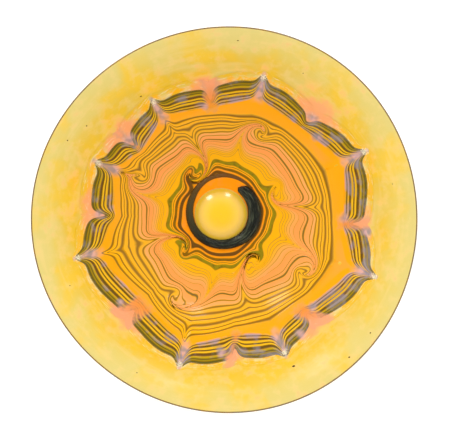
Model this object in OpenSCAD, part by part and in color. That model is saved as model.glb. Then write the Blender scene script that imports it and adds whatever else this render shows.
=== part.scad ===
// Blown art glass bowl: a wide yellow vessel whose inside carries coloured skins,
// combed threads, a coiled trail and a centre button, with a dark thread on its lip.
// +Z is up and the origin is the centre of the ring that the bowl stands on.

/* [Bowl] */
// Diameter over the lip wrap
bowl_d = 300; // [240:5:360]
// Height of the inside surface at the lip
rim_z = 74; // [60:2:95]
// Wall thickness at the lip
rim_t = 3; // [2.4:0.2:4]
// Height of the flat floor of the well
floor_z = 8; // [7:0.5:10]
// Rise of the pushed-up centre, underneath
kick_under = 4.5; // [3:0.5:5]

/* [Resting ring] */
// Outer diameter of the ground ring
ring_out_d = 106; // [100:2:116]
// Inner diameter of the ground ring
ring_in_d = 86; // [76:2:92]

/* [Skins and threads] */
// Depth of the coloured skins, measured straight down
skin_t = 1; // [0.8:0.1:1.4]
// Depth of the threads marvered into a skin
thread_t = 0.6; // [0.4:0.1:0.7]
// Outer diameter of the amber skin round the button
amber_d = 88; // [84:1:90]

/* [Centre] */
// How far the button sits to the right of the bowl's axis
centre_x = -3.5; // [-4:0.5:4]
// How far the button sits beyond the bowl's axis
centre_y = 4; // [-4:0.5:4]
// Diameter of the button
button_d = 42; // [38:1:44]
// Height of the button's dome above the floor round it
button_h = 7; // [4:0.5:9]
// Width of the dark trail round the button
trail_w = 7.5; // [5:0.5:8]
// Height of the dark trail
trail_h = 3; // [2:0.2:4]
// Direction of the dark trail's thin end, in degrees
trail_start_a = -200; // [-230:5:-180]
// How far the dark trail runs round the button, in degrees
trail_sweep = 245; // [200:5:300]

/* [Lip] */
// How far the lip wrap stands out from the wall
lip_w = 1.2; // [1:0.1:1.6]

/* [Hidden] */
$fn = 96;

k = bowl_d / 300;                      // plan scale of the decoration
wall_r = bowl_d / 2 - lip_w;           // where the wall ends and the lip wrap begins
well_r = 52.2 * k;                     // where the wall starts to climb
base_t = 5.9;                          // extra thickness of the wall at the resting ring
profile_step = 5 * k;                  // spacing of the profile's points
above = 20;                            // how far a cutter reaches past the lip

// Corners of the feather band, as [angle, inner radius, outer radius, halo width].
// Tips, where the threads were dragged outward, alternate with notches, dragged inward.
band_corners = [
    [26, 97, 121, 3], [50, 92, 105, 14],
    [75, 91, 114, 3], [97, 85, 100, 12],
    [122, 91, 107, 4], [141, 88, 101, 10],
    [156, 93, 109, 3], [179, 87, 102, 9],
    [194, 98, 118, 2], [225, 91, 107, 12],
    [253, 101, 119, 2], [274, 93, 104, 8],
    [294, 96, 112, 3], [311, 87, 104, 12],
    [339, 102, 125, 2], [358, 93, 105, 10]
];
thread_places = [0.14, 0.36, 0.58, 0.8];   // where the feather threads run across the band
thread_share = 0.1;                        // width of one of them, as a share of the band
well_thread_radii = [53, 59, 65, 71, 76, 81];
well_thread_w = 1.2;
ring_trail_radii = [31.5, 35.2, 38.9];
ring_trail_w = 2.4;

function smooth(t) = t * t * (3 - 2 * t);
function clamp(t) = min(1, max(0, t));
function mix(a, b, t) = a + (b - a) * t;

// Inside surface: a flat-floored round well and an S-shaped wall that flares at the lip
function climb(u) = 0.8 * smooth(u) + 0.2 * u * u;
function inside_z(r) = floor_z
    + (rim_z - floor_z) * climb(clamp((r - well_r) / (bowl_d / 2 - well_r)));
function inside_slope(r) = (inside_z(r + 0.5) - inside_z(r - 0.5));

// Underside: pushed up inside the resting ring, and a wall that thins towards the lip outside it
function wall_t(r) = rim_t + base_t * pow(1 - clamp((r - ring_out_d / 2) / (wall_r - ring_out_d / 2)), 3);
function under_z(r) = r <= ring_in_d / 2
    ? kick_under * (1 - smooth(2 * r / ring_in_d))
    : max(0, inside_z(r) - wall_t(r) * sqrt(1 + pow(inside_slope(r), 2)));

function radii(from, to) = [for (i = [0 : ceil((to - from) / profile_step)])
    min(to, from + i * profile_step)];
function inside_line(to, down) = [for (r = concat([0], radii(well_r, to))) [r, inside_z(r) - down]];
function reversed(list) = [for (i = [len(list) - 1 : -1 : 0]) list[i]];

// The whole vessel wall, before anything is let into it
module vessel() {
    ring = [ring_out_d / 2, 0];
    foot = concat(
        [for (i = [0 : 8]) let (r = ring_in_d / 2 * i / 8) [r, under_z(r)]],
        [ring]);
    outer = [for (r = radii(ring_out_d / 2 + profile_step, wall_r)) [r, under_z(r)]];
    rotate_extrude() polygon(concat(foot, outer, reversed(inside_line(wall_r, 0))));
}

// The layer of the given depth under the inside surface, out to the furthest halo corner
skin_r = 130 * k;
module skin(depth) {
    rotate_extrude() polygon(concat(inside_line(skin_r, 0), reversed(inside_line(skin_r, depth))));
}

// The same layer, open upward, for cutting
module skin_cutter(depth) {
    rotate_extrude() polygon(concat(
        [[0, rim_z + above], [skin_r, rim_z + above]],
        reversed(inside_line(skin_r, depth))));
}

module prism(outline) linear_extrude(rim_z + above) polygon(outline);

// A prism that reaches past both ends of an ordinary one, for cutting
module cut_prism(outline) translate([0, 0, -1]) linear_extrude(rim_z + above + 2) polygon(outline);

module cut_cylinder(r) translate([0, 0, -1]) cylinder(h = rim_z + above + 2, r = r);

module tube(inner_r, outer_r) {
    difference() {
        cylinder(h = rim_z + above, r = outer_r);
        cut_cylinder(inner_r);
    }
}

// Moves what is laid round the button to where the button sits
module at_centre() translate([centre_x, centre_y, 0]) children();

// Outline of the feather band at a share of its width: 0 is its inner edge and 1 its outer edge
function band_outline(share) = [for (c = band_corners)
    let (r = k * mix(c[1], c[2], share)) [r * cos(c[0]), r * sin(c[0])]];
function halo_outline() = [for (c = band_corners)
    let (r = k * (c[2] + c[3])) [r * cos(c[0]), r * sin(c[0])]];

module band_prism(from, to) {
    difference() {
        prism(band_outline(to));
        cut_prism(band_outline(from));
    }
}

module feather_thread_prisms() for (p = thread_places) band_prism(p, p + thread_share);

module well_thread_tubes() for (r = well_thread_radii)
    tube(k * r - well_thread_w / 2, k * r + well_thread_w / 2);

module ring_trail_tubes() at_centre() for (r = ring_trail_radii)
    tube(k * r - ring_trail_w / 2, k * r + ring_trail_w / 2);

// Yellow gather that makes the whole wall, with the bed that the skins lie in
module bowl_wall() {
    color("gold") difference() {
        vessel();
        intersection() {
            skin_cutter(skin_t);
            prism(halo_outline());
        }
    }
}

// Salmon skin that shows outside the feather band
module halo_overlay() {
    color("salmon") intersection() {
        skin(skin_t);
        difference() {
            prism(halo_outline());
            cut_prism(band_outline(1));
        }
    }
}

// Gold and olive skin between the zigzag edges, with beds for its threads
module feather_band() {
    color("olive") difference() {
        intersection() {
            skin(skin_t);
            band_prism(0, 1);
        }
        intersection() {
            skin_cutter(thread_t);
            feather_thread_prisms();
        }
    }
}

// Dark threads dragged into a zigzag
module feather_threads() {
    color([0.25, 0.15, 0.1]) intersection() {
        skin(thread_t);
        feather_thread_prisms();
    }
}

// Peach skin that lines the well
module well_overlay() {
    color("sandybrown") difference() {
        intersection() {
            skin(skin_t);
            prism(band_outline(0));
        }
        at_centre() cut_cylinder(amber_d * k / 2);
        intersection() {
            skin_cutter(thread_t);
            well_thread_tubes();
        }
    }
}

// Fine golden-brown threads marvered into the peach skin
module well_threads() {
    color("darkgoldenrod") intersection() {
        skin(thread_t);
        well_thread_tubes();
    }
}

// Amber skin round the button
module amber_overlay() {
    color("orange") difference() {
        intersection() {
            skin(skin_t);
            at_centre() tube(button_d / 2, amber_d * k / 2);
        }
        intersection() {
            skin_cutter(thread_t);
            ring_trail_tubes();
        }
    }
}

// Olive and brown turns of the trail that winds out from the centre
module ring_trail() {
    color([0.45, 0.33, 0.05]) intersection() {
        skin(thread_t);
        ring_trail_tubes();
    }
}

// Thick black-green start of the trail, standing proud round the button
module dark_trail() {
    trail_r = button_d / 2 + trail_w / 2;
    section = [for (i = [0 : 12]) let (a = 180 * i / 12)
        [trail_r + trail_w / 2 * cos(a), trail_h * sin(a)]];
    color([0.12, 0.15, 0.12]) at_centre() translate([0, 0, floor_z]) rotate([0, 0, trail_start_a])
        rotate_extrude(angle = trail_sweep) polygon(section);
}

// Yellow button in the middle of the well, with a low dome
module center_button() {
    dome_r = (pow(button_d / 2, 2) + pow(button_h, 2)) / (2 * button_h);
    color("yellow") at_centre() {
        translate([0, 0, floor_z - skin_t]) cylinder(h = skin_t, d = button_d);
        intersection() {
            translate([0, 0, floor_z + button_h - dome_r]) sphere(r = dome_r);
            translate([0, 0, floor_z]) cylinder(h = button_h + 1, d = button_d + 1);
        }
    }
}

// Dark thread fused on the edge of the wall
module lip_wrap() {
    top = inside_z(wall_r);
    bottom = under_z(wall_r);
    color([0.35, 0.25, 0.15]) rotate_extrude() polygon([for (i = [0 : 12])
        let (a = -90 + 180 * i / 12)
        [wall_r + lip_w * cos(a), (top + bottom) / 2 + (top - bottom) / 2 * sin(a)]]);
}

bowl_wall();
halo_overlay();
feather_band();
feather_threads();
well_overlay();
well_threads();
amber_overlay();
ring_trail();
dark_trail();
center_button();
lip_wrap();
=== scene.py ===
"""Looks of a blown art glass bowl.

The decoration is made the way the glass was: rings of skin and thread are laid at
rest radii, then a stylus is dragged through them along the strokes below, and each
stroke carries the soft glass with it. Lengths are in millimetres and listed angles in
degrees. The places of mesh points are turned into metres last.
"""
import math

import bpy
import numpy as np
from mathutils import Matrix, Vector
from mathutils.bvhtree import BVHTree


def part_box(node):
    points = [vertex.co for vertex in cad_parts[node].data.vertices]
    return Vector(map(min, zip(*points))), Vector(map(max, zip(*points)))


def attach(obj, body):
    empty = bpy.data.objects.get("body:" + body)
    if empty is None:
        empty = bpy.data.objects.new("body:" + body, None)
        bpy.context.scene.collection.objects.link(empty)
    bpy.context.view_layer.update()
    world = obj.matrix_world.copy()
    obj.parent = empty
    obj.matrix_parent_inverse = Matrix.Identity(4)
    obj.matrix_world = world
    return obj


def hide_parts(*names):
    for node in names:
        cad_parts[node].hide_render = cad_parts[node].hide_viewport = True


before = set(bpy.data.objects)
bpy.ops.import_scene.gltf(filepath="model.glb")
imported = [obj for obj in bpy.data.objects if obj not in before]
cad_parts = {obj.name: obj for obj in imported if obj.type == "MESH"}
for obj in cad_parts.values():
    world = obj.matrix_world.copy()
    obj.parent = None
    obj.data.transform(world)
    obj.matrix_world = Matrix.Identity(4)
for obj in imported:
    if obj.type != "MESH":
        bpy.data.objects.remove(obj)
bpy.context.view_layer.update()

MM = 0.001

# --- sizes read from the frame ---
_, lip_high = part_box("lip_wrap")
button_low, button_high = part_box("center_button")
LIP_R = lip_high[0] / MM
CENTER = np.array([(button_low[i] + button_high[i]) / 2 / MM for i in (0, 1)])
BUTTON_R = (button_high[0] - button_low[0]) / 2 / MM
BUTTON_TOP = button_high[2] / MM

# --- the lip's outline: a circle just inside the CAD lip, pulled into soft lobes ---
LIP_SHRINK = 1.0
LOBES = 3
LOBE_HEIGHT = 0.95
LOBE_ANGLE = 57
# The lip dips twice on its way round. The phase of the dips is in radians.
LIP_DIP = 0.8
DIP_PHASE = 1.1
# Lobes and dips start at the first radius and grow over the second length
SHAPED_FROM = 95
SHAPED_OVER = 55

# --- where each skin ends at rest ---
AMBER_EDGE = 19
WELL_EDGE = 44
BAND_EDGE = 89.5
HALO_EDGE = 105
WALL_EDGE = 113

# --- threads: (rest radius of the middle, width, how far they stand proud) ---
RING_THREADS = [(31.6, 3.0, 0.3), (35.3, 2.4, 0.25), (37.6, 0.6, 0.1), (40.2, 3.4, 0.25)]
WELL_THREADS = [(46.4, 0.6, 0.1), (48.4, 0.5, 0.1), (50.4, 0.5, 0.1), (52.4, 0.5, 0.1), (54.6, 0.5, 0.1),
                (57.4, 0.4, 0.1), (61.2, 0.5, 0.1), (63.4, 1.6, 0.15), (67.6, 0.8, 0.1), (70.6, 1.4, 0.12),
                (73.6, 2.0, 0.15), (76.4, 0.9, 0.1), (79.2, 2.2, 0.15), (81.8, 0.8, 0.1), (84.2, 1.6, 0.12)]
BAND_THREADS = [(91.5, 0.8, 0.1), (93.7, 1.5, 0.15), (96.3, 0.9, 0.1), (99.0, 2.2, 0.2), (101.9, 0.8, 0.1),
                (103.9, 1.9, 0.2)]

# --- guide rings: (rest radius, corners as (angle, radius there), bow of the sides between corners) ---
WELL_GUIDE = (66, [(10, 63), (75, 70), (111, 61), (160, 71), (197, 58), (245, 70), (286, 57), (332, 72)], 0)
LINE_GUIDE = (84, [(26, 84), (75, 82.5), (97, 82), (120.6, 86), (140, 82), (155.3, 89.5), (178, 81),
                   (196, 94), (224, 83.5), (250.3, 96), (275, 83.5), (294, 84), (311, 83.5), (338, 88),
                   (358, 82.5)], -0.5)
INNER_GUIDE = (BAND_EDGE, [(26, 104), (50.3, 93), (75, 100), (97, 88.5), (121.5, 97), (140, 85),
                           (155.5, 98), (178, 87), (194.5, 104), (224, 91), (253, 104), (275, 90),
                           (294, 99.5), (310, 92), (339.5, 108), (358, 92)], -3.5)
OUTER_GUIDE = (HALO_EDGE, [(26, 117), (50.3, 101), (75, 112), (97, 99.5), (121.5, 105.5), (140, 97),
                           (155.5, 107), (178, 101), (194.5, 116), (224, 104.5), (253, 116.5), (275, 105),
                           (294, 113), (310, 102), (339.5, 121), (358, 104.5)], 2.2)
HALO_GUIDE = (122, [(26, 126), (50.3, 119), (75, 124), (97, 120), (194.5, 125), (224, 121), (253, 125),
                    (310, 119), (339.5, 127), (358, 120)], 0)
# The guides shape only the rings between these two, and the innermost rings are centred on the button
INNERMOST = WELL_EDGE
OUTERMOST = 140
CENTRED_WITHIN = 42
CENTRED_FADE = 30

# --- strokes of the stylus ---
# Outward strokes at the feathered band's tips: (angle, radius where it starts, radius where it ends)
TIPS = [(26, 100, 121), (75, 97, 115), (121.5, 92, 108), (156, 95, 109),
        (194.5, 100, 119), (252.5, 100, 119.5), (294, 99, 114), (339, 104, 125)]
# Inward strokes between the tips
NOTCHES = [(50, 106, 101), (97, 105, 92), (141, 104, 90), (178, 108, 90),
           (225, 110, 99), (274, 108, 98), (311, 106, 96), (358, 108, 97)]
# Short outward strokes where the well's outermost line has a cusp
CUSPS = [(120.6, 78, 87), (155.3, 81, 91), (196, 86, 98), (250.3, 88, 98.5)]
# Inward strokes in the well, each ending in a curl near the dark rings
CURLS = [
    [(-28, 67), (-22, 56.4), (-16, 46), (-16, 37), (-23, 31), (-30, 32), (-31, 38), (-26, 41)],
    [(71, 9), (60, 10), (48, 11.5), (39, 14.5), (35.5, 20), (36.5, 25), (41, 27)],
    [(16, -63), (12.8, -52.4), (12.8, -42.2), (18, -32), (23, -27.5), (28.6, -28.5), (29, -33.5), (24, -36)],
    [(-67, -18), (-56.6, -16.9), (-47, -13.5), (-36.3, -14.5), (-29.5, -18.5), (-28.5, -24), (-33, -28)],
]
# Outward strokes in the well, each ending in a hook
HOOKS = [
    [(9, 50), (12, 61), (15, 69), (22, 73), (30, 71.5), (34, 67), (30.5, 63.5), (26, 65.5)],
    [(44.8, -13), (57, -22), (67, -29), (70.5, -37), (66, -44), (59.5, -45.5), (57.5, -40.5)],
    [(-8, -42), (-12, -53), (-17, -62), (-27, -68.5), (-38, -67), (-44, -61), (-41.5, -55), (-37, -57)],
    [(-49, 16), (-62, 20), (-71, 23.5), (-75.5, 30), (-72.5, 37), (-66, 37.5), (-63.5, 32.5)],
]

# --- the tools: (how far a tool reaches, how sharply its pull falls off) ---
HOOK_TOOL = (7.0, 1.6)
CURL_TOOL = (7.0, 1.9)
NOTCH_TOOL = (4.0, 1.2)
CUSP_TOOL = (3.0, 1.2)
TIP_TOOL = (4.5, 1.2)
# Length of one step of a stroke, the share of the reach that softens the pull under the tool,
# and how many reaches away a stroke still moves the glass
STEP = 1.4
SLIP = 0.65
REACHES_FELT = 7

# --- colour laid over the skins ---
# One for each notch: radius where the blush outside it starts to fade, how far it fades,
# half the width of the gap there (0 for none) and the gap's lean
GAPS = [(110, 16, 0, 0), (104, 13, 4.5, 0.5), (104, 13, 0.6, 0), (104, 12, 0, 0),
        (108, 13, 7.5, 2), (105, 10, 1.6, 2.5), (106, 14, 5, -3), (106, 12, 3.2, 0)]
BLUSH_SPREAD = 17
# A gap lies round a middle this far inside the blush's edge. It starts and ends, seen from that
# edge, at these distances, each with its fade. Its sides are soft and flare towards both ends.
GAP_MIDDLE = 8
GAP_START = (-22, 9)
GAP_END = (8, 6)
GAP_SOFT = 9
GAP_FLARE = 1.2
# The grey behind a tip, measured from the end of its stroke, and its half width and how that grows
TIP_START = (-25, 12)
TIP_END = (1, 5)
TIP_WIDTH = 1.8
TIP_WIDENS = 0.16
# The painted highlight at a tip, a pale star standing in for the glint there
PAINTED_GLINT_INSET = 1
PAINTED_GLINT_SIZE = 3.5
# Lavender smudges by the notches: (angle, radius, size)
SMUDGES = [(49.5, 104, 5), (42, 97, 4), (177.6, 99, 4), (140, 98, 5), (1, 92, 4), (355, 110, 4),
           (315, 96, 4), (303, 106, 4), (268, 103, 4), (100, 90, 3), (218, 104, 3)]
SMUDGE_SHARE = 0.9
# Direction, in radians, in which the band's colours are coolest
COOLEST = 0.2

# --- thicknesses, and how finely the meshes are made ---
SKIN_T = 0.45
# The bed is the wall's surface under the skins. It is combed only outside the radius BED_ROUND.
BED_DEPTH = 0.55
BED_ROUND = 86
BED_RADII = (0.5, 15, 30, 44, 52, 60, 68, 76, 84, 91, 98, 104, 109, WALL_EDGE)
# The wall's faces are measured at these rest radii and split where they are longer than this
WALL_CHECKED = (HALO_EDGE, WALL_EDGE, 119)
WALL_LONGEST = 1.5
INSIDE_END = 148
INSIDE_STEP = 1.4
UNDER_SPAN = (147, 2)
UNDER_STEP = 3.0
RIM_RADII = (148.2, 148.7)
AXIS_R = 0.5
SHARP_ANGLE = 50
# Radius of the circle that stands for one turn round the bowl in the flow space: the smaller it is,
# the longer the streaks
FLOW_SPREAD = 18

# --- the dark trail, clockwise from its blunt start: (angle round the button, radius, width, height) ---
TRAIL = [(54, 25.0, 5.0, 2.2), (46, 26.2, 8.6, 3.2), (25, 26.8, 10.4, 3.6), (0, 26.6, 10.8, 3.6),
         (-30, 26.2, 10.2, 3.4), (-60, 24.6, 8.6, 3.2), (-90, 23.6, 7.6, 3.0), (-120, 23.6, 7.0, 2.9),
         (-150, 24.0, 6.4, 2.7), (-180, 24.6, 6.0, 2.5), (-210, 26.0, 5.4, 2.2), (-235, 28.2, 4.4, 1.6),
         (-260, 30.2, 3.6, 1.0), (-290, 31.2, 3.0, 0.6), (-320, 31.6, 2.6, 0.4)]
# Share of its height that the trail goes below the floor, and share of its width that each end reaches on
TRAIL_SINK = 0.25
TRAIL_END = 0.35
# How finely the trail is streaked across, and the angle that counts as one step along it. The streaks are
# partly the trail's own streaky glass and partly painted reflections of the windows.
STREAKS_ACROSS = 2.4
STREAK_TURN = 40

# --- tiny dark seeds caught in the glass: (angle, radius, size) ---
SEEDS = [(86, 139, 0.5), (124.5, 116.4, 0.6), (146, 130, 0.5), (153.4, 136.8, 0.5), (295, 125.3, 0.9),
         (312, 143, 0.6), (322, 142.5, 0.5), (203, 131, 0.4), (62, 128, 0.35), (12, 133, 0.35),
         (240, 138, 0.4)]
SEED_SHAPE = (1.5, 1.0, 0.35)


# --- plain geometry ---
def smooth(t):
    t = np.clip(t, 0, 1)
    return t * t * (3 - 2 * t)


def polar(angle, radius):
    return np.array([radius * math.cos(math.radians(angle)), radius * math.sin(math.radians(angle))])


def curve(points, per_span=8):
    """A smooth line through the points."""
    points = np.asarray(points, float)
    ends = np.vstack([2 * points[0] - points[1], points, 2 * points[-1] - points[-2]])
    line = []
    for a, b, c, d in zip(ends, ends[1:], ends[2:], ends[3:]):
        for t in np.arange(per_span) / per_span:
            bend = (2 * a - 5 * b + 4 * c - d) * t * t + (3 * b - a - 3 * c + d) * t ** 3
            line.append(0.5 * (2 * b + (c - a) * t + bend))
    line.append(points[-1])
    return np.array(line)


# --- how a stroke moves the glass ---
def pull(points, tool, heading, reach, sharpness):
    """Speed of the glass while the tool moves: it flows round the tool without changing its area."""
    away = points - tool
    distance = np.sqrt((away ** 2).sum(1) + (SLIP * reach) ** 2)
    near = (distance / reach) ** sharpness
    strength = np.exp(-near)
    fall = -sharpness * near / distance * strength
    swirl = (heading[0] * away[:, 1] - heading[1] * away[:, 0]) * fall / distance
    return np.stack([heading[0] * strength + swirl * away[:, 1],
                     heading[1] * strength - swirl * away[:, 0]], 1)


def stroke(points, path, reach, sharpness):
    """Drags the points near the path along with the tool."""
    path = np.asarray(path, float)
    middle = (path.min(0) + path.max(0)) / 2
    span = np.abs(path - middle).max() + REACHES_FELT * reach
    near = np.abs(points - middle).max(1) < span
    moved = points[near]
    for start, end in zip(path, path[1:]):
        length = np.hypot(*(end - start))
        count = max(1, math.ceil(length / STEP))
        heading = (end - start) / length
        for i in range(count):
            tool = start + (end - start) * (i + 0.5) / count
            half = moved + pull(moved, tool, heading, reach, sharpness) * length / count / 2
            moved = moved + pull(half, tool, heading, reach, sharpness) * length / count
    points = points.copy()
    points[near] = moved
    return points


def comb(points):
    """Every stroke, in the order in which they were made."""
    for path in HOOKS:
        points = stroke(points, curve(path), *HOOK_TOOL)
    for path in CURLS:
        points = stroke(points, curve(path), *CURL_TOOL)
    for strokes, tool in ((NOTCHES, NOTCH_TOOL), (CUSPS, CUSP_TOOL), (TIPS, TIP_TOOL)):
        for angle, start, end in strokes:
            points = stroke(points, [polar(angle, start), polar(angle, end)], *tool)
    return points


# --- where the glass lies before combing ---
def side_between(guide, angle):
    """How far a guide ring stands out from its rest radius at each angle."""
    rest, corners, bow = guide
    (first, first_radius), (last, last_radius) = corners[0], corners[-1]
    at, radius = zip((last - 360, last_radius), *corners, (first + 360, first_radius))
    turned = np.degrees(angle) % 360
    share = np.interp(turned, at, np.arange(len(at))) % 1
    return np.interp(turned, at, radius) - rest + bow * 4 * share * (1 - share)


def laid(radius, angle):
    """Plan points of glass at these rest radii and angles, before combing."""
    angle = np.asarray(angle, float)
    radius = np.asarray(radius, float)
    guides = (WELL_GUIDE, LINE_GUIDE, INNER_GUIDE, OUTER_GUIDE, HALO_GUIDE)
    rests = [INNERMOST] + [guide[0] for guide in guides] + [OUTERMOST]
    shifts = [0 * angle] + [side_between(guide, angle) for guide in guides] + [0 * angle]
    shift = 0
    for i, (low, high) in enumerate(zip(rests, rests[1:])):
        share = (radius - low) / (high - low)
        inside = (share >= 0) & (share < 1)
        shift = shift + inside * (shifts[i] * (1 - share) + shifts[i + 1] * share)
    out = radius + shift
    centred = 1 - smooth((radius - CENTRED_WITHIN) / CENTRED_FADE)
    return np.stack([out * np.cos(angle) + CENTER[0] * centred,
                     out * np.sin(angle) + CENTER[1] * centred], 1)


# --- the wall's section, read from the CAD ---
FIRST_R = 0.5
LIP_LEFT_OUT = 1.5
SMOOTHING = 4
RAY_ASIDE = 0.3
ABOVE = 200
BELOW = -100
FLOOR_R = 20.5


def cad_tree():
    """All of the wall and its skins as one tree for casting rays."""
    corners, faces = [], []
    for name in ("bowl_wall", "halo_overlay", "feather_band", "feather_threads", "well_overlay",
                 "well_threads", "amber_overlay", "ring_trail"):
        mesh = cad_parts[name].data
        first = len(corners)
        corners.extend(v.co.copy() for v in mesh.vertices)
        faces.extend([first + i for i in p.vertices] for p in mesh.polygons)
    return BVHTree.FromPolygons(corners, faces)


def section(tree, height, down):
    """Radii out from the axis, and the smoothed height met there looking down (-1) or up (1)."""
    radii = np.arange(FIRST_R, LIP_R - LIP_LEFT_OUT, 1.0)
    heights = []
    for r in radii:
        hit = tree.ray_cast(Vector((r * MM, RAY_ASIDE * MM, height * MM)), Vector((0, 0, down)))[0]
        heights.append(hit.z / MM)
    padded = np.pad(heights, 3 * SMOOTHING, mode="reflect", reflect_type="odd")
    weights = np.exp(-0.5 * (np.arange(-3 * SMOOTHING, 3 * SMOOTHING + 1) / SMOOTHING) ** 2)
    return radii, np.convolve(padded, weights / weights.sum(), mode="valid")


tree = cad_tree()
inside_radii, inside_heights = section(tree, ABOVE, -1)
under_radii, under_heights = section(tree, BELOW, 1)


def inside_z(radius):
    return np.interp(radius, inside_radii, inside_heights)


def under_z(radius):
    return np.interp(radius, under_radii, under_heights)


FLOOR_Z = float(inside_z(FLOOR_R))


def in_place(points, heights):
    """Plan points and heights as places in metres, with the lip's lobes and dips."""
    radius = np.hypot(points[:, 0], points[:, 1])
    angle = np.arctan2(points[:, 1], points[:, 0])
    share = smooth((radius - SHAPED_FROM) / SHAPED_OVER)
    lobes = np.cos(LOBES * (angle - math.radians(LOBE_ANGLE)))
    scale = 1 + share * (LOBE_HEIGHT * lobes - LIP_SHRINK) / LIP_R
    dip = share * LIP_DIP * (0.5 + 0.5 * np.cos(2 * angle + DIP_PHASE))
    return np.column_stack([points * scale[:, None], heights - dip]) * MM


# --- meshes ---
def quad_mesh(name, places, quads):
    """A smooth mesh of four-sided faces, sharp where it turns a corner."""
    mesh = bpy.data.meshes.new(name)
    mesh.vertices.add(len(places))
    mesh.vertices.foreach_set("co", np.asarray(places, np.float32).ravel())
    mesh.loops.add(quads.size)
    mesh.loops.foreach_set("vertex_index", quads.ravel().astype(np.int32))
    mesh.polygons.add(len(quads))
    mesh.polygons.foreach_set("loop_start", np.arange(0, quads.size, 4, dtype=np.int32))
    mesh.update(calc_edges=True)
    mesh.shade_smooth()
    mesh.set_sharp_from_angle(angle=math.radians(SHARP_ANGLE))
    return mesh


def add_piece(mesh, material, attributes):
    """Dresses the mesh and adds it to the bowl. Each attribute is a number or a vector for each point."""
    for key, values in attributes.items():
        kind, field = ("FLOAT", "value") if np.ndim(values) == 1 else ("FLOAT_VECTOR", "vector")
        layer = mesh.attributes.new(key, kind, "POINT")
        layer.data.foreach_set(field, np.asarray(values, np.float32).ravel())
    mesh.materials.append(material)
    piece = bpy.data.objects.new(mesh.name, mesh)
    bpy.context.collection.objects.link(piece)
    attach(piece, "root")
    return piece


def stand_for(piece, node):
    """Hides the CAD node, so that the piece shows in its place."""
    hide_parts(node)


def loops_between(rows, columns):
    """Faces between closed rows of points, from each row to the next and from the last to the first."""
    row = np.arange(rows)[:, None]
    column = np.arange(columns)[None, :]
    after_row = (row + 1) % rows
    after_column = (column + 1) % columns
    quads = np.stack([after_row * columns + column, after_row * columns + after_column,
                      row * columns + after_column, row * columns + column], -1)
    return quads.reshape(-1, 4)


def angles_for(radii, longest, start=480, rounds=8):
    """Rest angles, split until no combed face at these radii is too long or the rounds run out."""
    def combed(angles):
        points = comb(laid(np.repeat(radii, len(angles)), np.tile(angles, len(radii))))
        return points.reshape(len(radii), len(angles), 2)

    angles = np.linspace(-math.pi, math.pi, start, endpoint=False)
    places = combed(angles)
    for _ in range(rounds):
        span = np.linalg.norm(np.roll(places, -1, 1) - places, axis=2).max(0)
        split = span > longest
        if not split.any():
            break
        after = np.append(angles[1:], angles[0] + 2 * math.pi)
        extra = (angles[split] + after[split]) / 2
        angles = np.append(angles, extra)
        places = np.concatenate([places, combed(extra)], 1)
        order = np.argsort(angles)
        angles, places = angles[order], places[:, order]
    return angles


# --- what the materials are told about each point ---
def fade_in(distance, start):
    """Rises from 0 to 1 from the start, given as (distance, fade)."""
    return smooth((distance - start[0]) / start[1])


def gap_share(plan, arc, edge, width, lean):
    """A gap between two feathers, flared at both ends."""
    up = (plan - edge + GAP_MIDDLE) / GAP_MIDDLE
    aside = np.abs(arc + lean * up)
    depth = fade_in(plan - edge, GAP_START) * (1 - fade_in(plan - edge, GAP_END))
    flared = width + np.minimum(np.abs(up), GAP_FLARE) ** 3
    return depth * (1 - smooth((aside - flared + GAP_SOFT / 2) / GAP_SOFT))


def tip_share(plan, arc, end):
    """The grey drawn out behind a tip."""
    along = fade_in(plan - end, TIP_START) * (1 - fade_in(plan - end, TIP_END))
    return np.exp(-(arc / (TIP_WIDTH + TIP_WIDENS * np.abs(end - plan))) ** 2) * along


def spot(points, angle, radius, size):
    """A round soft spot."""
    away = np.hypot(*(points - polar(angle, radius)).T)
    return np.exp(-(away / size) ** 2)


def masks(points):
    """How much blush, gap, grey tip, painted highlight at the tips and coolness each plan point shows."""
    plan = np.hypot(points[:, 0], points[:, 1])
    angle = np.arctan2(points[:, 1], points[:, 0])

    def arc_from(at):
        return np.angle(np.exp(1j * (angle - math.radians(at)))) * plan

    blush, gap, tip, painted_glint = np.zeros((4, len(points)))
    for (at, _, _), (edge, fade, width, lean) in zip(NOTCHES, GAPS):
        arc = arc_from(at)
        near = np.exp(-(arc / BLUSH_SPREAD) ** 2)
        blush = np.maximum(blush, near * (1 - smooth((plan - edge) / fade)))
        if width > 0:
            gap = np.maximum(gap, gap_share(plan, arc, edge, width, lean))
    for at, _, end in TIPS:
        tip = np.maximum(tip, tip_share(plan, arc_from(at), end))
        # a pale spot of painted highlight at each tip's end
        painted_glint = np.maximum(painted_glint, spot(points, at, end - PAINTED_GLINT_INSET, PAINTED_GLINT_SIZE))
    for at, radius, size in SMUDGES:
        tip = np.maximum(tip, SMUDGE_SHARE * spot(points, at, radius, size))
    return {"blush": blush, "gap": gap, "tip": tip, "painted_glint": painted_glint,
            "chill": 0.5 + 0.5 * np.cos(angle - COOLEST)}


def spaces(points, heights, rest, angle):
    """Where each point was laid (rest, flow) and where it lies (plan, place), for the materials."""
    flow = np.column_stack([rest, FLOW_SPREAD * np.cos(angle), FLOW_SPREAD * np.sin(angle)])
    return {"rest": rest, "flow": flow, "plan": np.hypot(points[:, 0], points[:, 1]),
            "place": np.column_stack([points, heights])}
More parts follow.
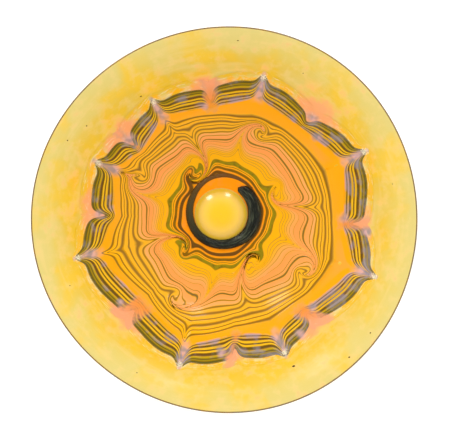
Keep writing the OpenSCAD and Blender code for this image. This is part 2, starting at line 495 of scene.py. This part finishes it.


# --- materials ---
# ivory is the halo's pale wisps and also the painted highlights at the tips
PALETTE = {
    "amber": (255, 150, 4), "orange": (255, 168, 12), "sun": (252, 180, 12), "gold": (246, 178, 20),
    "peach": (255, 162, 80), "rose_peach": (250, 172, 92), "lavender": (178, 152, 156),
    "band_gold": (232, 182, 30), "band_ochre": (205, 158, 42), "olive": (150, 132, 12),
    "dark_olive": (88, 84, 20), "mauve": (206, 166, 168), "flame": (246, 148, 52), "dome": (248, 200, 20),
    "brown": (98, 70, 22), "tail": (72, 62, 26), "ring_brown": (112, 72, 18), "ivory": (244, 236, 196),
    "umber": (138, 98, 6), "thread": (158, 112, 14), "fine_thread": (196, 136, 50),
    "dark_thread": (122, 94, 40), "sun_yellow": (238, 190, 36), "salmon": (244, 160, 112),
    "coral": (238, 148, 80), "cream": (234, 203, 128), "yellow": (224, 182, 40), "pale": (220, 191, 84),
    "rim": (216, 197, 118), "slate": (146, 138, 146), "mint": (190, 196, 158), "black_green": (18, 22, 12),
    "smoke_and_sheen": (70, 76, 56), "lip": (112, 90, 62),
}
IOR = 1.5
COAT_ROUGHNESS = 0.16


def paint(name):
    """A palette colour as linear light."""
    values = [c / 255 for c in PALETTE[name]]
    return (*(v / 12.92 if v <= 0.04045 else ((v + 0.055) / 1.055) ** 2.4 for v in values), 1)


class Shader:
    """A node material with short calls for what every glass here needs."""

    def __init__(self, name, roughness=0.14, coat=0.0, shine=0.16):
        self.material = bpy.data.materials.new(name)
        self.material.use_nodes = True
        self.nodes = self.material.node_tree.nodes
        self.links = self.material.node_tree.links
        self.glass = self.nodes["Principled BSDF"]
        self.glass.inputs["Roughness"].default_value = roughness
        self.glass.inputs["IOR"].default_value = IOR
        self.glass.inputs["Specular IOR Level"].default_value = shine
        self.glass.inputs["Coat Weight"].default_value = coat
        self.glass.inputs["Coat Roughness"].default_value = COAT_ROUGHNESS

    def plug(self, value, socket):
        if isinstance(value, bpy.types.NodeSocket):
            self.links.new(value, socket)
        else:
            socket.default_value = value

    def plug_all(self, values, node):
        for value, socket in zip(values, node.inputs):
            self.plug(value, socket)
        return node.outputs[0]

    def attribute(self, name, output="Fac"):
        node = self.nodes.new("ShaderNodeAttribute")
        node.attribute_name = name
        return node.outputs[output]

    def math(self, operation, *values):
        node = self.nodes.new("ShaderNodeMath")
        node.operation = operation
        return self.plug_all(values, node)

    def between(self, value, low, high, to_low=0.0, to_high=1.0):
        """Goes smoothly from to_low to to_high as the value goes from low to high."""
        node = self.nodes.new("ShaderNodeMapRange")
        node.interpolation_type = "SMOOTHSTEP"
        return self.plug_all((value, low, high, to_low, to_high), node)

    def noise(self, scale, detail=3.0, space="flow", roughness=0.55, distortion=0.0):
        """Noise over one of the spaces, with its scale for each millimetre."""
        node = self.nodes.new("ShaderNodeTexNoise")
        self.links.new(self.attribute(space, "Vector"), node.inputs["Vector"])
        node.inputs["Scale"].default_value = scale
        node.inputs["Detail"].default_value = detail
        node.inputs["Roughness"].default_value = roughness
        node.inputs["Distortion"].default_value = distortion
        return node.outputs["Fac"]

    def ragged(self, mask, noise, amount, middle=0.5):
        """The mask with its edges broken up by noise."""
        return self.math("ADD", mask, self.math("MULTIPLY_ADD", noise, amount, -amount * middle))

    def kept_to(self, mask, limits, share):
        """The share, faded in as the mask goes from the first limit to the second."""
        return self.math("MULTIPLY", share, self.between(mask, *limits))

    def ramp(self, value, stops):
        """stops are (value, colour name) in the value's own units."""
        low, high = stops[0][0], stops[-1][0]
        node = self.nodes.new("ShaderNodeValToRGB")
        elements = node.color_ramp.elements
        while len(elements) < len(stops):
            elements.new(0.5)
        for element, (at, colour) in zip(elements, stops):
            element.position = (at - low) / (high - low)
            element.color = paint(colour)
        share = self.plug_all((value, low, high, 0.0, 1.0), self.nodes.new("ShaderNodeMapRange"))
        self.links.new(share, node.inputs[0])
        return node.outputs[0]

    def mix(self, share, a, b):
        node = self.nodes.new("ShaderNodeMix")
        node.data_type = "RGBA"
        self.plug(share, node.inputs["Factor"])
        self.plug(a, node.inputs[6])
        self.plug(b, node.inputs[7])
        return node.outputs[2]

    def bump(self, height, distance, strength):
        node = self.nodes.new("ShaderNodeBump")
        node.inputs["Strength"].default_value = strength
        node.inputs["Distance"].default_value = distance
        self.links.new(height, node.inputs["Height"])
        self.links.new(node.outputs[0], self.glass.inputs["Normal"])

    def colour(self, value):
        self.plug(value, self.glass.inputs["Base Color"])
        return self.material


def smeared(shader, colour):
    """Gaps, grey tips and painted highlights at the tips, which lie over every skin alike."""
    gap = shader.attribute("gap")
    edge = shader.ragged(gap, shader.noise(0.22, 2, "place", 0.5), 1.4)
    outline = shader.kept_to(gap, (0.0, 0.3), shader.between(edge, 0.0, 0.6, 0.0, 0.3))
    colour = shader.mix(outline, colour, paint("slate"))
    warm = shader.ramp(shader.attribute("plan"), [(86, "orange"), (93, "flame"), (99, "coral"),
                                                  (106, "salmon"), (112, "salmon")])
    inside = shader.kept_to(gap, (0.0, 0.4), shader.between(edge, 0.1, 1.1, 0.0, 0.85))
    colour = shader.mix(inside, colour, warm)
    tip = shader.attribute("tip")
    edge = shader.ragged(tip, shader.noise(0.12, 1, "place", 0.4), 1.2)
    warmth = shader.between(shader.noise(0.15, 1, "place"), 0.38, 0.62)
    tones = shader.mix(warmth, paint("slate"), paint("mauve"))
    smudge = shader.kept_to(tip, (0.0, 0.4), shader.between(edge, 0.0, 1.1, 0.0, 0.85))
    colour = shader.mix(smudge, colour, tones)
    return add_painted_glints(shader, colour)


def add_painted_glints(shader, colour):
    """Painted highlight: pale streaked ivory where each tip was drawn out, standing in for the glint there.
    """
    painted_glint = shader.attribute("painted_glint")
    edge = shader.ragged(painted_glint, shader.noise(0.9, 3, "place", 0.7), 3.0, 1.7 / 3)
    share = shader.kept_to(painted_glint, (0.02, 0.2), shader.between(edge, 0.3, 0.9, 0.0, 0.8))
    return shader.mix(share, colour, paint("ivory"))


def blushing(shader):
    """The blush with ragged edges."""
    return shader.ragged(shader.attribute("blush"), shader.noise(0.1, 4, "place", 0.55), 1.6)


def coolness(shader):
    """Where the feathered band turns grey and lavender."""
    return shader.math("ADD", shader.noise(0.09, 3, "place", 0.5),
                       shader.math("MULTIPLY", shader.attribute("chill"), 0.11))


def thread_side(shader):
    """0 in the middle of a thread and 1 at both its edges."""
    return shader.math("ABSOLUTE", shader.attribute("across"))


def wall_glass():
    shader = Shader("yellow_glass", 0.26)
    plan = shader.attribute("plan")
    colour = shader.ramp(plan, [(100, "yellow"), (122, "yellow"), (134, "pale"), (150, "rim")])
    cloud = shader.noise(0.03, 3, "place", 0.5, 0.4)
    colour = shader.mix(shader.between(cloud, 0.4, 0.75, 0.0, 0.7), colour, paint("rim"))
    colour = shader.mix(shader.between(cloud, 0.55, 0.3, 0.0, 0.7), colour, paint("sun_yellow"))
    streak = shader.noise(0.12, 4, "flow", 0.6)
    colour = shader.mix(shader.between(streak, 0.5, 0.7, 0.0, 0.35), colour, paint("cream"))
    patch = shader.kept_to(plan, (132, 118), shader.between(shader.noise(0.05, 3, "place", 0.5),
                                                            0.48, 0.72, 0.0, 0.8))
    colour = shader.mix(patch, colour, paint("gold"))
    # the blush breaks up into wisps with pale outlines
    edge = blushing(shader)
    colour = shader.mix(shader.between(edge, -0.1, 0.25, 0.0, 0.4), colour, paint("cream"))
    colour = shader.mix(shader.between(edge, 0.1, 0.8, 0.0, 0.8), colour, paint("salmon"))
    shader.bump(shader.noise(0.05, 2), 0.0015, 0.3)
    # the painted highlights at the tips reach onto the wall too
    return shader.colour(add_painted_glints(shader, colour))


def halo_glass():
    shader = Shader("salmon_glass")
    pale = shader.ramp(shader.attribute("rest"), [
        (HALO_EDGE, "mint"), (106.2, "cream"), (110, "pale"), (WALL_EDGE, "yellow")])
    bright = shader.ramp(shader.attribute("rest"), [
        (HALO_EDGE, "band_gold"), (107, "gold"), (WALL_EDGE, "yellow")])
    cloud = shader.noise(0.12, 4, "place", 0.6)
    yellow = shader.mix(shader.between(cloud, 0.45, 0.62), bright, pale)
    colour = shader.mix(shader.between(blushing(shader), 0.0, 0.8, 0.0, 0.85), yellow, paint("salmon"))
    wisp = shader.noise(0.9, 3, "flow", 0.6)
    colour = shader.mix(shader.between(wisp, 0.54, 0.7, 0.0, 0.45), colour, paint("ivory"))
    return shader.colour(smeared(shader, colour))


def band_glass():
    shader = Shader("golden_olive_glass")
    golden = shader.ramp(shader.attribute("rest"), [
        (BAND_EDGE, "orange"), (91, "band_ochre"), (94, "band_gold"), (97, "band_gold"), (99.6, "band_gold"),
        (101.4, "olive"), (103, "olive"), (HALO_EDGE, "dark_olive")])
    cool = shader.ramp(shader.attribute("rest"), [
        (BAND_EDGE, "orange"), (90.6, "lavender"), (92.8, "lavender"), (95, "band_ochre"), (98, "band_gold"),
        (100.6, "slate"), (103, "olive"), (HALO_EDGE, "dark_olive")])
    colour = shader.mix(shader.between(coolness(shader), 0.48, 0.7), golden, cool)
    return shader.colour(smeared(shader, colour))


def band_thread_glass():
    shader = Shader("dark_brown_glass")
    core = shader.ramp(shader.attribute("rest"), [
        (90, "brown"), (100, "brown"), (102, "dark_olive"), (HALO_EDGE, "dark_olive")])
    green = shader.noise(0.07, 3, "place")
    core = shader.mix(shader.between(green, 0.45, 0.6, 0.0, 0.7), core, paint("dark_olive"))
    colour = shader.mix(shader.between(thread_side(shader), 0.2, 1.0, 0.0, 0.8), core, paint("thread"))
    colour = shader.mix(shader.between(coolness(shader), 0.52, 0.76, 0.0, 0.6), colour, paint("slate"))
    return shader.colour(smeared(shader, colour))


def well_glass():
    shader = Shader("peach_glass")
    rest = shader.attribute("rest")
    colour = shader.ramp(rest, [
        (WELL_EDGE, "sun"), (50, "sun"), (55, "rose_peach"), (58, "peach"), (66, "peach"),
        (69, "rose_peach"), (72, "gold"), (80, "sun"), (83.6, "sun"), (85.4, "orange"),
        (BAND_EDGE, "orange")])
    outside = shader.math("MULTIPLY", shader.between(rest, 84.8, 85.6), shader.between(rest, 88.2, 87.4))
    warm = shader.math("MULTIPLY", outside, shader.between(shader.noise(0.07, 3), 0.5, 0.75, 0.0, 0.5))
    colour = shader.mix(warm, colour, paint("peach"))
    cloud = shader.noise(0.1, 4, "flow", 0.6)
    colour = shader.mix(shader.between(cloud, 0.5, 0.8, 0.0, 0.5), colour, paint("gold"))
    return shader.colour(smeared(shader, colour))


def well_thread_glass():
    shader = Shader("golden_brown_glass")
    core = shader.ramp(shader.attribute("rest"), [
        (WELL_EDGE, "fine_thread"), (60, "fine_thread"), (62, "dark_thread"), (64.4, "dark_thread"),
        (66, "thread"), (90, "umber")])
    colour = shader.mix(shader.between(thread_side(shader), 0.15, 1.0, 0.0, 0.75), core, paint("gold"))
    return shader.colour(smeared(shader, colour))


def amber_glass():
    shader = Shader("amber_glass")
    colour = shader.ramp(shader.attribute("rest"), [
        (18, "amber"), (34, "amber"), (37.4, "orange"), (41, "gold"), (WELL_EDGE, "sun")])
    cloud = shader.noise(0.2, 3)
    return shader.colour(shader.mix(shader.between(cloud, 0.5, 0.8, 0.0, 0.4), colour, paint("coral")))


def ring_glass():
    shader = Shader("olive_brown_glass")
    core = shader.ramp(shader.attribute("rest"), [
        (30, "ring_brown"), (33, "ring_brown"), (34, "umber"), (37, "umber"), (38, "olive"), (41, "olive")])
    streak = shader.noise(0.5, 2)
    colour = shader.mix(shader.between(streak, 0.45, 0.7, 0.0, 0.5), core, paint("brown"))
    colour = shader.mix(shader.between(thread_side(shader), 0.6, 1.0, 0.0, 0.7), colour, paint("orange"))
    return shader.colour(colour)


def trail_glass():
    shader = Shader("black_green_glass", 0.12, 0.0, 0.25)
    # grey streaks: partly the trail's own streaky glass, partly painted reflections of the windows
    streak = shader.noise(1.5, 3, "flow", 0.6)
    colour = shader.mix(shader.between(streak, 0.45, 0.65, 0.0, 0.85), paint("black_green"), paint("smoke_and_sheen"))
    along = shader.attribute("along")
    tail = shader.ramp(along, [(0, "black_green"), (0.5, "black_green"), (0.68, "tail"),
                               (0.85, "ring_brown"), (1, "ring_brown")])
    colour = shader.mix(shader.between(along, 0.4, 0.6), colour, tail)
    shader.bump(streak, 0.001, 0.8)
    return shader.colour(colour)


def button_glass():
    shader = Shader("opal_yellow_glass", 0.2, 1.0, 0.3)
    colour = shader.ramp(shader.attribute("plan"), [
        (0, "dome"), (13, "dome"), (18, "yellow"), (19.6, "yellow"), (20.3, "pale"), (21, "coral")])
    cloud = shader.noise(0.12, 3)
    return shader.colour(shader.mix(shader.between(cloud, 0.48, 0.7, 0.0, 0.3), colour, paint("sun_yellow")))


def lip_glass():
    shader = Shader("dark_lip_glass", 0.1, 0.5)
    cloud = shader.noise(0.3, 3)
    return shader.colour(shader.mix(shader.between(cloud, 0.4, 0.7), paint("lip"), paint("umber")))


def seed_glass():
    shader = Shader("seed_glass")
    tone = shader.between(shader.noise(2.0), 0.4, 0.6)
    return shader.colour(shader.mix(tone, paint("brown"), paint("black_green")))


# --- skins and threads ---
def thread_rows(middle, width, proud):
    """A thread's crowned top, as (rest radius, lift)."""
    across = (-1, -0.7, 0, 0.7, 1) if width > 1 else (-1, 0, 1)
    return [(middle + width / 2 * a, proud * (1 - a * a)) for a in across]


def ground_rings(low, high, threads, spacing):
    """The stretches of skin left between threads, each as rows no further apart than spacing."""
    edges = [low]
    for middle, width, _ in threads:
        edges += [middle - width / 2, middle + width / 2]
    edges.append(high)
    rings = []
    for start, end in zip(edges[::2], edges[1::2]):
        count = max(2, math.ceil((end - start) / spacing) + 1)
        rings.append([(r, 0) for r in np.linspace(start, end, count)])
    return rings


def skin_ring(lifts, longest):
    """Closed ring of glass between its first and last rest radius.

    lifts holds (rest radius, how far it stands proud) for each row of its top.
    """
    first, middle, last = (lifts[i][0] for i in (0, len(lifts) // 2, -1))
    belly = middle if len(lifts) > 2 else (first + last) / 2
    top = [(r, lift, 0) for r, lift in lifts]
    under = [(r, 0, SKIN_T) for r in (last, belly, first)]
    angles = angles_for((first, middle, last), longest)
    rest, lift, depth = (np.repeat(column, len(angles)) for column in zip(*top, *under))
    angle = np.tile(angles, len(top) + len(under))
    points = comb(laid(rest, angle))
    shown = masks(points)
    heights = inside_z(np.hypot(points[:, 0], points[:, 1])) + lift * (1 - shown["gap"]) - depth
    return {"points": points, "heights": heights, "rest": rest, "angle": angle,
            "across": (rest - first) / (last - first) * 2 - 1,
            "quads": loops_between(len(top) + len(under), len(angles)), **shown}


def glass_piece(name, node, rings, material, longest):
    """One piece made of every ring given, each a list of (rest radius, lift)."""
    parts = [skin_ring(lifts, longest) for lifts in rings]
    first = 0
    for part in parts:
        part["quads"] += first
        first += len(part["points"])
    whole = {key: np.concatenate([part[key] for part in parts]) for key in parts[0]}
    points, heights, quads, angle = (whole.pop(key) for key in ("points", "heights", "quads", "angle"))
    mesh = quad_mesh(name, in_place(points, heights), quads)
    piece = add_piece(mesh, material, {**whole, **spaces(points, heights, whole["rest"], angle)})
    stand_for(piece, node)


def thread_piece(name, node, threads, material, longest):
    glass_piece(name, node, [thread_rows(*thread) for thread in threads], material, longest)


def build_skins():
    """The halo, the feathered band, the well and the amber round the button, with their threads."""
    halo = ground_rings(HALO_EDGE, WALL_EDGE, [], spacing=1.0)
    band = ground_rings(BAND_EDGE, HALO_EDGE, BAND_THREADS, spacing=1.1)
    well = ground_rings(WELL_EDGE, BAND_EDGE, WELL_THREADS, spacing=1.3)
    amber = ground_rings(AMBER_EDGE, WELL_EDGE, RING_THREADS, spacing=1.2)
    glass_piece("halo_skin", "halo_overlay", halo, halo_glass(), longest=1.0)
    glass_piece("feather_skin", "feather_band", band, band_glass(), longest=0.9)
    thread_piece("feather_lines", "feather_threads", BAND_THREADS, band_thread_glass(), longest=0.9)
    glass_piece("well_skin", "well_overlay", well, well_glass(), longest=1.1)
    thread_piece("well_lines", "well_threads", WELL_THREADS, well_thread_glass(), longest=1.1)
    glass_piece("amber_skin", "amber_overlay", amber, amber_glass(), longest=0.8)
    thread_piece("dark_rings", "ring_trail", RING_THREADS, ring_glass(), longest=0.8)


# --- the vessel, its lip, trail, button and seeds ---
def build_wall():
    """The whole vessel: a bed under the skins, the yellow inside above it and the underside."""
    angles = angles_for(WALL_CHECKED, WALL_LONGEST)
    inside = np.append(np.arange(WALL_EDGE, INSIDE_END, INSIDE_STEP), RIM_RADII)
    under = np.append(RIM_RADII[::-1], np.arange(*UNDER_SPAN, -UNDER_STEP))
    rows = [(r, "bed") for r in BED_RADII] + [(r, "inside") for r in inside]
    rows += [(r, "under") for r in np.append(under, AXIS_R)]
    radius = np.repeat([r for r, _ in rows], len(angles))
    side = np.repeat([kind for _, kind in rows], len(angles))
    angle = np.tile(angles, len(rows))
    points = np.stack([radius * np.cos(angle), radius * np.sin(angle)], 1)
    combed = (side != "under") & (radius < OUTERMOST) & (radius > BED_ROUND)
    points[combed] = comb(laid(radius[combed], angle[combed]))
    plan = np.hypot(points[:, 0], points[:, 1])
    heights = np.where(side == "under", under_z(plan), inside_z(plan))
    heights = heights - np.where(side == "bed", BED_DEPTH, 0)
    shown = masks(points)
    attributes = spaces(points, heights, radius, angle)
    # the blush and the painted tip highlights stay off the underside
    for key in ("blush", "painted_glint"):
        attributes[key] = np.where(side == "under", 0, shown[key])
    mesh = quad_mesh("wall", in_place(points, heights), loops_between(len(rows), len(angles)))
    stand_for(add_piece(mesh, wall_glass(), attributes), "bowl_wall")


def build_lip():
    """A thin dark ring round the edge, as thick as the wall there."""
    count, sides = 720, 14
    inset, half_width = 1.1, 1.0
    flow_spread = 60
    angle = np.tile(np.linspace(-math.pi, math.pi, count, endpoint=False), sides)
    turn = np.repeat(np.arange(sides) * 2 * math.pi / sides, count)
    top, bottom = inside_z(LIP_R - inset), under_z(LIP_R - inset)
    radius = LIP_R - inset + half_width * np.cos(turn)
    points = np.column_stack([radius * np.cos(angle), radius * np.sin(angle)])
    heights = (top + bottom) / 2 + (top - bottom) / 2 * np.sin(turn)
    flow = np.column_stack([turn, flow_spread * np.cos(angle), flow_spread * np.sin(angle)])
    mesh = quad_mesh("dark_lip_ring", in_place(points, heights), loops_between(sides, count))
    stand_for(add_piece(mesh, lip_glass(), {"flow": flow}), "lip_wrap")


def tube_faces(count, sides):
    """Faces of an open tube, and the fans that close its ends on two more points."""
    row = np.arange(count - 1)[:, None]
    column = np.arange(sides)[None, :]
    after = (column + 1) % sides
    quads = np.stack([row * sides + column, (row + 1) * sides + column,
                      (row + 1) * sides + after, row * sides + after], -1).reshape(-1, 4)
    fans = []
    for first, tip, order in ((0, count * sides, 1), ((count - 1) * sides, count * sides + 1, -1)):
        fans += [(first + i, first + (i + 1) % sides, tip)[::order] for i in range(sides)]
    return quads.tolist() + fans


def build_trail():
    """The trail's round back above the floor, with both ends closed on a point at the floor."""
    line = curve(TRAIL, per_span=14)
    count, sides = len(line), 20
    turn = np.arange(sides) / sides * 2 * math.pi
    angle = np.radians(line[:, 0])
    out = np.stack([np.cos(angle), np.sin(angle)], 1)
    across, up = np.cos(turn), np.maximum(np.sin(turn), -TRAIL_SINK)
    reach = line[:, 1, None] + line[:, 2, None] / 2 * across
    plan = out[:, None, :] * reach[:, :, None] + CENTER
    heights = FLOOR_Z + line[:, 3, None] * up
    ends = []
    for i, push in ((0, TRAIL_END), (-1, -TRAIL_END)):
        onward = np.array([-out[i, 1], out[i, 0]])
        ends.append(np.append(plan[i].mean(0) + push * line[i, 2] * onward, FLOOR_Z))
    places = np.vstack([np.dstack([plan, heights]).reshape(-1, 3), ends]) * MM
    mesh = bpy.data.meshes.new("trail")
    mesh.from_pydata(places.tolist(), [], tube_faces(count, sides))
    mesh.shade_smooth()
    along = np.repeat(np.linspace(0, 1, count), sides)
    flow = np.column_stack([np.tile(STREAKS_ACROSS * across, count),
                            np.repeat(line[:, 0] / STREAK_TURN, sides), np.tile(up, count)])
    attributes = {"along": np.append(along, [0, 1]), "flow": np.vstack([flow, flow[0], flow[-1]])}
    stand_for(add_piece(mesh, trail_glass(), attributes), "dark_trail")


def build_button():
    """A domed button whose edge has sunk a little into the floor."""
    count, rings = 180, 40
    pole, fullness, sunk = 0.2, 2.3, 0.5
    height = BUTTON_TOP - FLOOR_Z
    top = [(r, height * (1 - (r / BUTTON_R) ** fullness)) for r in np.linspace(pole, BUTTON_R, rings)]
    rows = top + [(BUTTON_R, -sunk), (pole, -sunk)]
    radius = np.repeat([r for r, _ in rows], count)
    angle = np.tile(np.linspace(-math.pi, math.pi, count, endpoint=False), len(rows))
    points = np.column_stack([radius * np.cos(angle) + CENTER[0], radius * np.sin(angle) + CENTER[1]])
    places = np.column_stack([points, FLOOR_Z + np.repeat([h for _, h in rows], count)])
    mesh = quad_mesh("amber_button", places * MM, loops_between(len(rows), count))
    stand_for(add_piece(mesh, button_glass(), {"plan": radius, "flow": places}), "center_button")


def build_seeds():
    """Tiny flat grains in the wall's inner face, each closed by a thin tube from pole to pole."""
    rows, sides = 7, 12
    pinhole = 0.15
    down = np.repeat(np.linspace(pinhole, math.pi - pinhole, rows), sides)
    turn = np.tile(np.arange(sides) * 2 * math.pi / sides, rows)
    grain = np.column_stack([np.sin(down) * np.cos(turn), np.sin(down) * np.sin(turn), np.cos(down)])
    grain = grain * SEED_SHAPE
    points, quads = [], []
    for at, radius, size in SEEDS:
        middle = in_place(polar(at, radius)[None, :], inside_z(np.array([radius])))[0] / MM
        quads.append(loops_between(rows, sides) + rows * sides * len(points))
        points.append(middle + size * grain)
    places = np.vstack(points) * MM
    mesh = quad_mesh("seeds", places, np.concatenate(quads))
    piece = add_piece(mesh, seed_glass(), {"flow": places / MM})


# --- floor, light and camera, in metres ---
FLOOR_HALF = 2.5
FLOOR_COLOUR = (0.95, 0.95, 0.97, 1)
FLOOR_GLOW = (0.93, 0.95, 1, 1)
FLOOR_GLOW_STRENGTH = 0.25
# The sky is bright up to the first height (sine of elevation) and dim from the second
SKY_HEIGHTS = (0.65, 0.99)
SKY_STRENGTHS = (1.5, 0.36)
# Windows: (name, azimuth, size, watts)
WINDOWS = [("left_window", 124, 0.34, 4.4), ("right_window", 71, 0.28, 2.8)]
WINDOW_ELEVATION = 30
WINDOW_DISTANCE = 1.6
LENS = 300
SENSOR = 36
SEEN_WIDTH = 0.346
CAMERA_ASIDE = (-0.0003, 0.0004)


def build_floor():
    mesh = bpy.data.meshes.new("floor")
    mesh.from_pydata([(-FLOOR_HALF, -FLOOR_HALF, 0), (FLOOR_HALF, -FLOOR_HALF, 0),
                      (FLOOR_HALF, FLOOR_HALF, 0), (-FLOOR_HALF, FLOOR_HALF, 0)], [], [(0, 1, 2, 3)])
    floor = bpy.data.objects.new("floor", mesh)
    bpy.context.collection.objects.link(floor)
    shader = Shader("pale_floor", 0.6)
    shader.glass.inputs["Base Color"].default_value = FLOOR_COLOUR
    shader.glass.inputs["Emission Color"].default_value = FLOOR_GLOW
    shader.glass.inputs["Emission Strength"].default_value = FLOOR_GLOW_STRENGTH
    mesh.materials.append(shader.material)


def build_sky():
    """Bright walls and a dim ceiling, so that the glass keeps its colour seen from above."""
    world = bpy.data.worlds.new("studio")
    bpy.context.scene.world = world
    world.use_nodes = True
    nodes, links = world.node_tree.nodes, world.node_tree.links
    background = nodes["Background"]
    background.inputs["Color"].default_value = (1, 1, 1, 1)
    direction = nodes.new("ShaderNodeTexCoord")
    split = nodes.new("ShaderNodeSeparateXYZ")
    links.new(direction.outputs["Generated"], split.inputs[0])
    fade = nodes.new("ShaderNodeMapRange")
    fade.interpolation_type = "SMOOTHSTEP"
    links.new(split.outputs["Z"], fade.inputs[0])
    for value, socket in zip((*SKY_HEIGHTS, *SKY_STRENGTHS), fade.inputs[1:5]):
        socket.default_value = value
    links.new(fade.outputs[0], background.inputs["Strength"])


def build_windows():
    """Two soft windows, which the button's dome reflects."""
    for name, azimuth, size, watts in WINDOWS:
        data = bpy.data.lights.new(name, "AREA")
        data.size = size
        data.energy = watts
        light = bpy.data.objects.new(name, data)
        bpy.context.collection.objects.link(light)
        along = polar(azimuth, WINDOW_DISTANCE * math.cos(math.radians(WINDOW_ELEVATION)))
        light.location = (*along, WINDOW_DISTANCE * math.sin(math.radians(WINDOW_ELEVATION)))
        light.rotation_euler = (-light.location).to_track_quat("-Z", "Y").to_euler()


def build_camera():
    """Straight above the bowl, from far enough that the well isn't drawn small."""
    data = bpy.data.cameras.new("camera")
    data.lens = LENS
    data.sensor_width = SENSOR
    camera = bpy.data.objects.new("camera", data)
    bpy.context.collection.objects.link(camera)
    camera.location = (*CAMERA_ASIDE, lip_high[2] + SEEN_WIDTH * LENS / SENSOR)
    bpy.context.scene.camera = camera


build_camera()
build_floor()
build_sky()
build_windows()
bpy.context.scene.view_settings.view_transform = "Standard"
build_skins()
build_wall()
build_lip()
build_trail()
build_button()
build_seeds()
